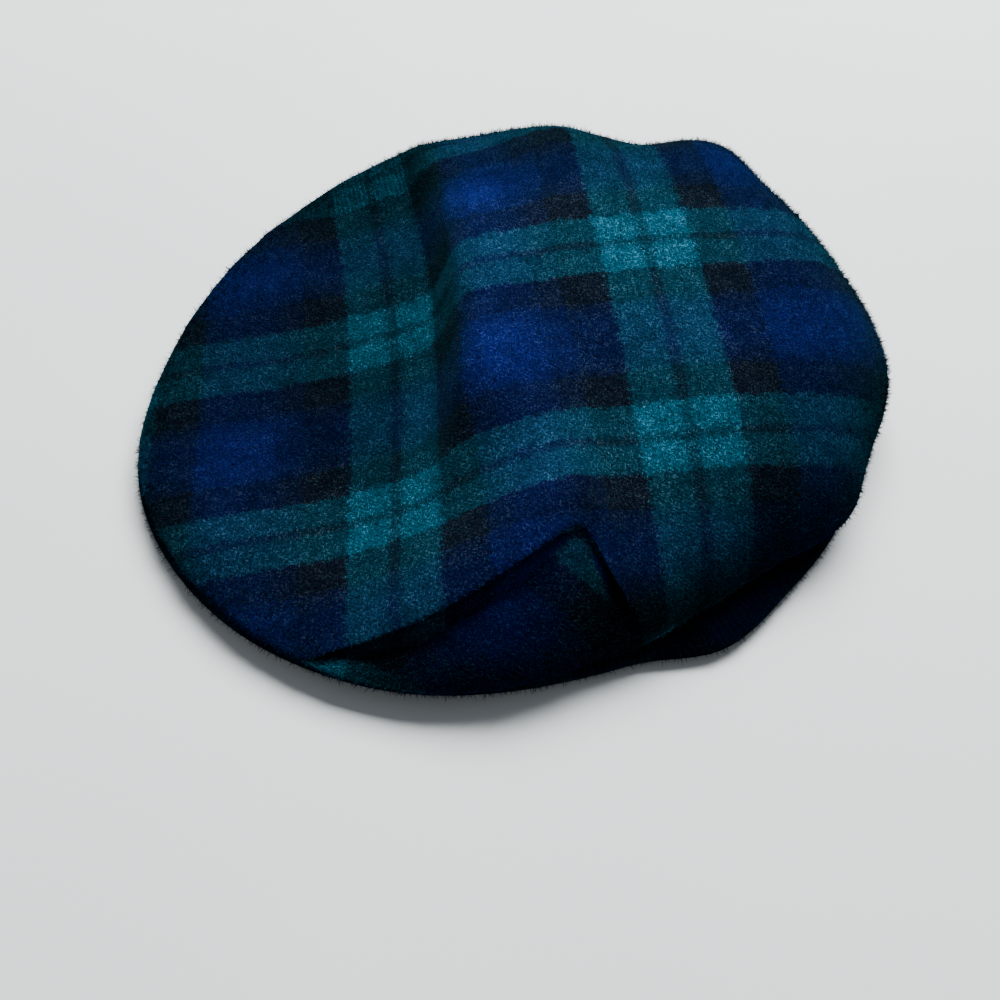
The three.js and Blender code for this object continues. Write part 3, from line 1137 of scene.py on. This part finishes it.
@dataclass(frozen=True)
class Wool:
    """A woollen finish: plaid cloth where plain is None, and else cloth of one yarn colour.

    fibre and fibre_amount are the colour and the amount of the pale fibres on green cloth, and the rest of
    the cloth has off_green times as many. brighten is how many times paler the yarns are than ThreadColour.
    """

    name: str
    plain: tuple | None = None
    fibre: tuple = (0.04, 0.066, 0.078)
    fibre_amount: float = 0.85
    off_green: float = 0.42
    fray: float = 0.16
    clumps: float = 0.45
    bump: float = 0.7
    bump_depth: float = 0.0006
    weave_bump: float = 0.2
    sheen: float = 0.03
    sheen_tint: tuple = (0.1, 0.7, 0.9)
    brighten: float = 1.0

    def material(self, tartan: bpy.types.NodeTree, felt: bpy.types.NodeTree) -> bpy.types.Material:
        """Builds the material.

        Args:
            tartan: the weave's node group.
            felt: the nap's node group.

        Returns:
            The material.
        """
        made = bpy.data.materials.new(self.name)
        made.use_nodes = True
        tree = made.node_tree
        tree.nodes.clear()
        s = NodeSketch(tree)
        place = s.node("ShaderNodeTexCoord").outputs["Object"]
        nap = s.node("ShaderNodeGroup", node_tree=felt)
        s.link(place, nap.inputs["Place"])
        nap.inputs["Fibre"].default_value = (*self.fibre, 1)
        nap.inputs["Clumps"].default_value = self.clumps
        height = nap.outputs["Height"]
        if self.plain is None:
            weave = s.node("ShaderNodeGroup", node_tree=tartan)
            cloth = s.node("ShaderNodeUVMap", uv_map=CLOTH_MAP)
            s.link(cloth.outputs[0], weave.inputs["Place"])
            for yarn in ThreadColour:
                colour = tuple(channel * self.brighten for channel in yarn.value)
                weave.inputs[yarn.name.title()].default_value = (*colour, 1)
            weave.inputs["Fray"].default_value = self.fray
            s.link(weave.outputs["Color"], nap.inputs["Color"])
            fewest = self.off_green * self.fibre_amount
            amount = s.span(weave.outputs["Green Share"], 0.0, 1.0, fewest, self.fibre_amount)
            s.link(amount, nap.inputs["Fibre Amount"])
            height = s.math("ADD", height, s.math("MULTIPLY", weave.outputs["Height"], self.weave_bump))
            # The Rubbed attribute paints light and shade into the colour, and the warp ribs show more where
            # it is darker
            shading = s.node("ShaderNodeAttribute", attribute_name=PAINTED_LIGHT)
            s.link(shading.outputs["Fac"], nap.inputs["Rubbed"])
            s.link(s.span(shading.outputs["Fac"], 0.2, 0.42, 0.4, 0.05), weave.inputs["Rib"])
        else:
            nap.inputs["Color"].default_value = (*self.plain, 1)
            nap.inputs["Fibre Amount"].default_value = self.fibre_amount
            nap.inputs["Rubbed"].default_value = 1.0
        shader = s.node("ShaderNodeBsdfPrincipled")
        shader.inputs["Specular IOR Level"].default_value = 0.0
        shader.inputs["Sheen Weight"].default_value = self.sheen
        shader.inputs["Sheen Roughness"].default_value = 0.5
        shader.inputs["Sheen Tint"].default_value = (*self.sheen_tint, 1)
        s.link(nap.outputs["Color"], shader.inputs["Base Color"])
        s.link(nap.outputs["Roughness"], shader.inputs["Roughness"])
        if self.bump:
            bump = s.node("ShaderNodeBump")
            bump.inputs["Strength"].default_value = self.bump
            bump.inputs["Distance"].default_value = self.bump_depth
            s.link(height, bump.inputs["Height"])
            s.link(bump.outputs[0], shader.inputs["Normal"])
        end = s.node("ShaderNodeOutputMaterial")
        s.link(shader.outputs[0], end.inputs["Surface"])
        return made


class CrownGrid(NamedTuple):
    """The crown on its grid of rings and turns."""

    outer: np.ndarray
    inner: np.ndarray
    places: np.ndarray
    floor: np.ndarray
    painted_light: np.ndarray


@dataclass
class Crown:
    """The crown's plaid shell.

    The turns lie closer together from dense_from to dense_to, in degrees. ridge is the height in mm of the
    ridge that the rim seam pushes up at the share ridge_at. The fades say where painted shade darkens the
    cloth: on the low left side, though less towards its front, towards the back, the right and the rim, and
    on slopes that face forwards, away from the light behind. seam_gain makes the cloth paler along the
    seam's ridge. rim_hairs says where stray hairs get more.
    floor_step and floor_behind place the edge of the pleat's floor on the cloth, in mm.
    """

    form: HatForm
    placement: Placement
    cut: FlatCut
    plaid: PlaidPlace
    rings: int = 110
    turns: int = 400
    dense_from: float = 232.0
    dense_to: float = 302.0
    dense_gain: float = 1.6
    dense_fade: float = 8.0
    ridge: float = 0.9
    ridge_at: float = 0.902
    ridge_width: float = 0.01
    seam_gain: float = 1.6
    seam_width: float = 0.011
    low_side_end: Fade = Fade(-50.0, 16.0)
    low_side_loss: float = 0.5
    low_side_front: Fade = Fade(35.0, 45.0, 0.24)
    back_loss: Fade = Fade(58.0, 30.0, 0.42)
    right_loss: Fade = Fade(58.0, 42.0, 0.36)
    rim_loss: Fade = Fade(0.5, 0.4, 0.2)
    slope_loss: Fade = Fade(0.1, 0.5, 0.6)
    rim_hairs: Fade = Fade(0.6, 0.2)
    floor_edge: Fade = Fade(0.3, 0.4)
    floor_step: float = 2.0
    floor_behind: float = 2.6
    floor_from: float = 0.45
    inner_step: float = 8.4

    def directions(self) -> np.ndarray:
        """Angles of the turns, closer together across the pleat.

        Returns:
            Angles in radians.
        """
        fine = np.linspace(0, 360, 3601)
        gain = ease((fine - self.dense_from) / self.dense_fade)
        gain = gain * ease((self.dense_to - fine) / self.dense_fade)
        run = np.concatenate([[0], np.cumsum(1 + self.dense_gain * (gain[1:] + gain[:-1]) / 2)])
        wanted = np.linspace(0, run[-1], self.turns + 1)[:-1]
        return np.radians(np.interp(wanted, run, fine))

    def painted_light(self, share: np.ndarray, plain: np.ndarray, floor: np.ndarray) -> np.ndarray:
        """Painted light and shade: palest where the cloth stands high, dark on front slopes and in the
        pleat.

        Args:
            share: shares along the cloth.
            plain: the crown without its pleat.
            floor: the pleat's share.

        Returns:
            About 1 in the middle of the raised part, down to 0.1.
        """
        x, y = plain[..., 0], plain[..., 1]
        # Painted shade: darker on the low left side, less so towards its front, and towards the back and the
        # right
        low_side = 1 - self.low_side_end.of(x)
        high = 1 - low_side * (self.low_side_loss - self.low_side_front.of(-y))
        high = high * (1 - self.back_loss.of(y)) * (1 - self.right_loss.of(x))
        # Painted shade towards the rim and on slopes that face forwards, away from the light behind
        inner = 1 - self.rim_loss.of(share)
        slope = 1 - self.slope_loss.of(-surface_normals(plain)[..., 1])
        # Paler along the rim seam's ridge; uneven is random tone in the cloth
        seam = 1 + self.seam_gain * self.near_seam(share, self.seam_width)
        uneven = 1 + 0.1 * soft_noise(x, y, grain=11, seed=7)
        # Painted shade on the pleat's floor
        sunk = 1 + (self.form.pleat.shade(x, y) - 1) * self.floor_edge.of(floor)
        return high * inner * slope * seam * uneven * sunk

    def near_seam(self, share: np.ndarray, width: float) -> np.ndarray:
        """Bell curve over the share: 1 on the rim seam's ridge and 0 a few widths away."""
        return np.exp(-(((share - self.ridge_at) / width) ** 2))

    def grid(self) -> CrownGrid:
        """Works the crown out: fine waves and the seam's ridge on the outside, a soft pleat on the inside.

        Returns:
            Outer and inner points, places on the plaid, the pleat's share and the painted shade.
        """
        pleat = self.form.pleat
        share, angle = full_grid(np.linspace(0, 1, self.rings + 1)[1:], self.directions())
        plain = self.form.crown(share, angle, tucked=False)
        outer = self.form.crown(share, angle, tucked=True)
        x, y = plain[..., 0], plain[..., 1]
        uneven = 0.35 * soft_noise(x, y, grain=17, seed=5) + 0.18 * soft_noise(x, y, grain=7, seed=6)
        seam = self.ridge * self.near_seam(share, self.ridge_width)
        uneven = uneven + seam * (1 + 0.4 * soft_noise(x, y, grain=9, seed=8))
        outer = outer + surface_normals(plain) * uneven[..., None]
        soft = plain.copy()
        soft[..., 2] -= pleat.sink(x, y, self.inner_step, 0.0)
        inner = soft - surface_normals(soft) * self.form.cloth
        places = self.plaid.at(self.cut.at(share, angle), plain)
        floor = pleat.floor_share(x, y, self.floor_step, -self.floor_behind * pleat.grown(x, y))
        return CrownGrid(outer, inner, places, floor, self.painted_light(share, plain, floor))

    def build(self, finish: bpy.types.Material) -> bpy.types.Object:
        """Builds the shell.

        Args:
            finish: its material.

        Returns:
            The crown's object.
        """
        outer, inner, places, floor, painted_light = self.grid()
        top = outer[0, :, 2].mean()
        middles = np.array([[0, 0, top], [0, 0, top - self.form.cloth]])
        points = np.concatenate([outer.reshape(-1, 3), inner.reshape(-1, 3), middles])
        main = places.reshape(-1, 2)
        centre = np.array([[self.plaid.column[0], self.plaid.row[0]]])
        main = np.concatenate([main, main, centre, centre])
        folded = self.form.pleat.pattern(points[:, 0], points[:, 1])
        quads, triangles = shell_faces(self.rings, self.turns, True)
        is_floor = floor.ravel()[np.minimum(quads, floor.size - 1)].mean(1) > self.floor_from
        is_floor &= (quads < floor.size).all(1)
        quad_map = np.where(is_floor[:, None, None], folded[quads], main[quads])
        cloth_map = np.concatenate([quad_map.reshape(-1, 2), main[triangles].reshape(-1, 2)])
        painted_light = np.concatenate([painted_light.ravel(), painted_light.ravel(), [1.0, 1.0]])
        metres = self.placement.metres(points)
        return build_mesh("crown_cloth", metres, [quads, triangles], finish, cloth_map, painted_light)

    def hairiness(self, more_at_rim: float) -> np.ndarray:
        """Fibres for each outer face's area: 1 in the middle and more_at_rim more near the rim."""
        share = (np.arange(self.rings - 1) + 1.5) / self.rings
        return np.repeat(1 + more_at_rim * self.rim_hairs.of(share), self.turns)


@dataclass(frozen=True)
class LooseFibres:
    """Fibres that stand out of the nap, each a thin closed spike in the colour of its root.

    Lengths are mm. rise is the sine of the angle between a fibre and the cloth, and each root starts a
    little inside the cloth.
    """

    count: int
    length: tuple = (0.9, 2.8)
    width: float = 0.12
    seed: int = 11
    rise: tuple = (0.2, 0.95)
    rooted: float = 0.2
    foot_length: float = 1.7
    lowest: float = 0.2

    @staticmethod
    def faces_of(shell: bpy.types.Object, count: int) -> tuple[np.ndarray, np.ndarray, np.ndarray]:
        """Reads the first four-cornered faces of a shell.

        Args:
            shell: the piece.
            count: how many faces.

        Returns:
            The place in metres and on the plaid of each corner of each face, and each face's painted shade.
        """
        mesh = shell.data
        corners = np.zeros(len(mesh.loops), np.int32)
        mesh.loops.foreach_get("vertex_index", corners)
        faces = corners[: count * 4].reshape(-1, 4)
        places = np.zeros(len(mesh.loops) * 2, np.float32)
        mesh.uv_layers[CLOTH_MAP].data.foreach_get("uv", places)
        points = np.zeros(len(mesh.vertices) * 3, np.float32)
        mesh.vertices.foreach_get("co", points)
        painted_light = np.zeros(len(mesh.vertices), np.float32)
        mesh.attributes[PAINTED_LIGHT].data.foreach_get("value", painted_light)
        cloth_map = places.reshape(-1, 2)[: count * 4].reshape(-1, 4, 2)
        return points.reshape(-1, 3)[faces], cloth_map, painted_light[faces].mean(1)

    def spikes(self, rng: np.random.Generator, root: np.ndarray, up: np.ndarray) -> np.ndarray:
        """Draws a spike on each root: three corners round the root and a tip, in any direction.

        Args:
            rng: source of the draws.
            root: the roots in metres.
            up: directions out of the cloth.

        Returns:
            The four corners of each spike, in metres.
        """
        lean = rng.normal(size=(self.count, 3))
        lean -= (lean * up).sum(1, keepdims=True) * up
        lean /= np.linalg.norm(lean, axis=1, keepdims=True)
        rise = rng.uniform(*self.rise, (self.count, 1))
        length = rng.uniform(*self.length, (self.count, 1)) * METRES
        tip = root + (up * rise + lean * np.sqrt(1 - rise**2)) * length
        side = np.cross(up, lean)
        half = self.width * METRES / 2
        base = root - up * self.rooted * METRES
        feet = [base + side * half, base - side * half, base + lean * half * self.foot_length]
        corners = np.stack([*feet, tip], 1)
        corners[..., 2] = np.maximum(corners[..., 2], self.lowest * METRES)
        return corners

    def build(
        self, name: str, shell: bpy.types.Object, likely: np.ndarray, finish: bpy.types.Material
    ) -> bpy.types.Object:
        """Scatters the fibres over the first faces of a shell.

        Args:
            name: name of the new piece.
            shell: the piece they stand on.
            likely: how many fibres each of its first four-cornered faces gets for its area.
            finish: the fibres' material.

        Returns:
            The object of all fibres.
        """
        rng = np.random.default_rng(self.seed)
        points, places, painted_light = self.faces_of(shell, len(likely))
        normal = np.cross(points[:, 2] - points[:, 0], points[:, 3] - points[:, 1])
        area = np.linalg.norm(normal, axis=1)
        normal = normal / np.maximum(area, 1e-12)[:, None]
        share = area * likely
        chosen = rng.choice(len(points), self.count, p=share / share.sum())
        a, b = rng.random((2, self.count, 1))
        weights = np.concatenate([(1 - a) * (1 - b), a * (1 - b), a * b, (1 - a) * b], 1)[..., None]
        root = (points[chosen] * weights).sum(1)
        corners = self.spikes(rng, root, normal[chosen])
        sides = np.array([[0, 1, 3], [1, 2, 3], [2, 0, 3], [0, 2, 1]])
        faces = sides[None] + 4 * np.arange(self.count)[:, None, None]
        cloth_map = np.repeat((places[chosen] * weights).sum(1), sides.size, axis=0)
        # Each fibre carries the painted shade of its root's face
        shading = np.repeat(painted_light[chosen], 4)
        return build_mesh(name, corners.reshape(-1, 3), [faces.reshape(-1, 3)], finish, cloth_map, shading)


@dataclass
class Underside:
    """The ring of plaid cloth below the crown.

    repeats is how many columns of the plaid go round it, the first of them at the turn green_at in degrees.
    repeat is the plaid's size in mm, and seam_row the place on it of the seam. Painted shade darkens all
    of it, most under the crown where the front bulges, from bulge_from to bulge_to.
    """

    form: HatForm
    placement: Placement
    rings: int = 44
    turns: int = 300
    repeats: int = 6
    green_at: float = 280.0
    seam_row: float = 0.36
    repeat: float = 112.0
    painted_shade_level: float = 0.24
    bulge_from: Fade = Fade(284.0, 8.0)
    bulge_to: Fade = Fade(-352.0, 12.0)
    bulge_shade: float = 0.65
    hairs_end: Fade = Fade(0.3, 0.1)

    def build(self, finish: bpy.types.Material) -> bpy.types.Object:
        """Builds the ring, whose plaid has its columns running in from the seam and its rows along it.

        Args:
            finish: its material.

        Returns:
            The ring's object.
        """
        share, angle = full_grid(np.linspace(0, 1, self.rings), even_turns(self.turns))
        outer = self.form.underside(share, angle)
        inner = outer - surface_normals(outer) * self.form.cloth
        steps = np.linalg.norm(np.diff(outer, axis=0), axis=2)
        run = np.concatenate([np.zeros((1, self.turns)), np.cumsum(steps, axis=0)])
        column = (np.degrees(angle) - self.green_at) / 360 * self.repeats
        places = np.stack([column, self.seam_row + run / self.repeat], -1).reshape(-1, 2)
        points = np.concatenate([outer.reshape(-1, 3), inner.reshape(-1, 3)])
        quads, _ = shell_faces(self.rings, self.turns, False)
        cloth_map = np.concatenate([places, places])[quads]
        behind = cloth_map[..., 0] < cloth_map[:, :1, 0] - self.repeats / 2
        ahead = cloth_map[..., 0] > cloth_map[:, :1, 0] + self.repeats / 2
        cloth_map[..., 0] += self.repeats * (behind.astype(float) - ahead)
        cloth_map = cloth_map.reshape(-1, 2)
        turn = np.degrees(np.concatenate([angle.ravel(), angle.ravel()]))
        # Painted shade: the whole ring is darkened, most under the front bulge
        under_bulge = self.bulge_from.of(turn) * self.bulge_to.of(-turn)
        painted_light = self.painted_shade_level * (1 - self.bulge_shade * under_bulge)
        metres = self.placement.metres(points)
        return build_mesh("underside_cloth", metres, [quads], finish, cloth_map, painted_light)

    def hairiness(self) -> np.ndarray:
        """Fibres for each outer face's area: 1 on the part that faces outwards, 0 on the table."""
        share = (np.arange(self.rings - 1) + 0.5) / self.rings
        return np.repeat(1 - self.hairs_end.of(share), self.turns)


@dataclass
class Headband:
    """The plain upright band round the head opening, with rounded edges."""

    form: HatForm
    placement: Placement
    rings: int = 16
    turns: int = 240
    edge: float = 0.7

    def build(self, finish: bpy.types.Material) -> bpy.types.Object:
        """Builds the band: its outer face is upright and turns in by the edge's rounding at both ends.

        Args:
            finish: its material.

        Returns:
            The band's object.
        """
        share, angle = full_grid(np.linspace(0, 1, self.rings), even_turns(self.turns))
        height = self.form.band_height * (1 - share)
        to_end = np.minimum(height, self.form.band_height - height)
        turn_in = self.edge * (1 - np.sqrt(1 - (1 - np.minimum(1, to_end / self.edge)) ** 2))
        walls = []
        for depth in (turn_in, self.form.cloth - turn_in):
            radius = self.form.band_radius(angle, 0) - depth
            wall = np.stack([radius * np.cos(angle), radius * np.sin(angle), height], -1)
            walls.append(wall.reshape(-1, 3))
        quads, _ = shell_faces(self.rings, self.turns, False)
        return build_mesh("headband_cloth", self.placement.metres(np.concatenate(walls)), [quads], finish)


@dataclass
class Studio:
    """The pale table, the soft light from behind and the camera.

    The table's sizes are metres, and the camera's place is in mm about the middle of the crown.
    """

    placement: Placement
    table_side: float = 3.0
    table_depth: float = 0.02
    focal_length: float = 40.32
    camera_place: tuple = (-35.1, -294.8, 341.3)
    camera_right: tuple = (0.9972, 0.0023, 0.0746)
    camera_ahead: tuple = (0.0598, 0.5739, -0.8167)
    table_colour: tuple = (0.78, 0.8, 0.8)
    cloud_colour: tuple = (0.74, 0.77, 0.78)

    def table(self) -> bpy.types.Object:
        """Builds the table top, a wide flat slab with faint clouds in its colour.

        Returns:
            The table's object.
        """
        side = self.table_side
        rim = ((-side, -side), (side, -side), (side, side), (-side, side))
        corners = [(x, y, z) for z in (-self.table_depth, 0) for x, y in rim]
        faces = [[3, 2, 1, 0], [4, 5, 6, 7], [0, 1, 5, 4], [1, 2, 6, 5], [2, 3, 7, 6], [3, 0, 4, 7]]
        mesh = bpy.data.meshes.new("table_top")
        mesh.from_pydata(corners, [], faces)
        top = bpy.data.objects.new("table_top", mesh)
        bpy.context.scene.collection.objects.link(top)
        made = bpy.data.materials.new("Pale table")
        made.use_nodes = True
        s = NodeSketch(made.node_tree)
        shader = made.node_tree.nodes["Principled BSDF"]
        place = s.node("ShaderNodeTexCoord").outputs["Object"]
        cloud = s.span(s.noise(place, scale=5, detail=3), 0.3, 0.7, 0.0, 1.0)
        tint = s.mix("MIX", cloud, (*self.table_colour, 1), (*self.cloud_colour, 1))
        s.link(tint, shader.inputs["Base Color"])
        shader.inputs["Roughness"].default_value = 0.6
        shader.inputs["Specular IOR Level"].default_value = 0.2
        top.data.materials.append(made)
        return top

    def light(
        self, name: str, place: tuple, size: tuple, power: float, colour: tuple
    ) -> bpy.types.Object:
        """Adds a rectangular lamp that shines at the hat.

        Args:
            name: name of the lamp.
            place: where it stands in metres.
            size: width and height in metres.
            power: watts.
            colour: its tint.

        Returns:
            The lamp's object.
        """
        data = bpy.data.lights.new(name, "AREA")
        data.shape = "RECTANGLE"
        data.size, data.size_y = size
        data.energy = power
        data.color = colour
        lamp = bpy.data.objects.new(name, data)
        lamp.location = place
        towards_hat = Vector((0, 0, 0.02)) - Vector(place)
        lamp.rotation_euler = towards_hat.to_track_quat("-Z", "Y").to_euler()
        bpy.context.scene.collection.objects.link(lamp)
        return lamp

    def lights(self) -> None:
        """Adds the window light from behind, a faint fill from the front and the room's glow."""
        self.light("window_light", (0.3, 1.2, 1.4), (1.6, 1.0), 128, (0.97, 1.0, 1.0))
        self.light("front_fill", (-0.9, -1.0, 1.5), (1.2, 1.2), 1, (1.0, 0.98, 0.95))
        world = bpy.data.worlds.new("Room")
        world.use_nodes = True
        glow = world.node_tree.nodes["Background"]
        glow.inputs["Color"].default_value = (0.85, 0.93, 1.0, 1)
        glow.inputs["Strength"].default_value = 0.2
        bpy.context.scene.world = world

    def camera(self) -> bpy.types.Object:
        """Sets the camera up by its place, its right and its forward direction.

        Returns:
            The camera's object.
        """
        data = bpy.data.cameras.new("photo_camera")
        data.lens = self.focal_length
        data.sensor_width = 36
        data.clip_start = 0.01
        data.clip_end = 50
        viewer = bpy.data.objects.new("photo_camera", data)
        ahead = Vector(self.camera_ahead).normalized()
        right = Vector(self.camera_right)
        right = (right - right.dot(ahead) * ahead).normalized()
        up = right.cross(ahead)
        place = Matrix.Translation(Vector(self.placement.metres(np.array(self.camera_place))))
        viewer.matrix_world = place @ Matrix((right, up, -ahead)).transposed().to_4x4()
        bpy.context.scene.collection.objects.link(viewer)
        bpy.context.scene.camera = viewer
        return viewer


def declare(piece: bpy.types.Object, node: str | None) -> None:
    """Lets a piece ride on the hat and stand for a solid, and logs it.

    Args:
        piece: the piece.
        node: the solid it replaces, or None.
    """
    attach(piece, "root")
    if node:
        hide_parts(node)
    LOG.info("%s: %d faces", piece.name, len(piece.data.polygons))


def main() -> None:
    """Builds the hat piece by piece, then the studio."""
    logging.basicConfig(level=logging.INFO, format="%(message)s")
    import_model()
    form = HatForm()
    placement = Placement.from_headband(form)
    cut = FlatCut(form)
    LOG.info("flat crown: %.4f square metres", cut.area())
    tartan = tartan_group(Sett())
    felt = felt_group()
    plaid_wool = Wool("Plaid wool").material(tartan, felt)
    under_wool = Wool("Underside wool").material(tartan, felt)
    fibre_wool = Wool("Loose fibres", fibre_amount=0.5, bump=0.0, sheen=0.15, brighten=2.2)
    fibre_wool = fibre_wool.material(tartan, felt)
    hair_wool = Wool("Stray hairs", fibre_amount=0.4, bump=0.0, brighten=1.1).material(tartan, felt)
    band_wool = Wool("Band wool", plain=(0.006, 0.01, 0.02), fibre_amount=0.05).material(tartan, felt)

    crown = Crown(form, placement, cut, PlaidPlace())
    shell = crown.build(plaid_wool)
    declare(shell, "crown")
    nap = LooseFibres(44000)
    fibres = nap.build("crown_fibres", shell, crown.hairiness(0.5), fibre_wool)
    declare(fibres, None)
    strays = LooseFibres(24000, length=(1.2, 3.4), width=0.3, seed=13)
    hairs = strays.build("crown_stray_hairs", shell, crown.hairiness(12.0), hair_wool)
    declare(hairs, None)

    underside = Underside(form, placement)
    ring = underside.build(under_wool)
    declare(ring, "underside")
    strays = LooseFibres(9000, length=(1.2, 3.2), width=0.26, seed=12)
    ring_fibres = strays.build("underside_fibres", ring, underside.hairiness(), hair_wool)
    declare(ring_fibres, None)

    band = Headband(form, placement).build(band_wool)
    declare(band, "headband")

    studio = Studio(placement)
    studio.table()
    studio.lights()
    studio.camera()
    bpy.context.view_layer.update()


if __name__ == "__main__":
    main()
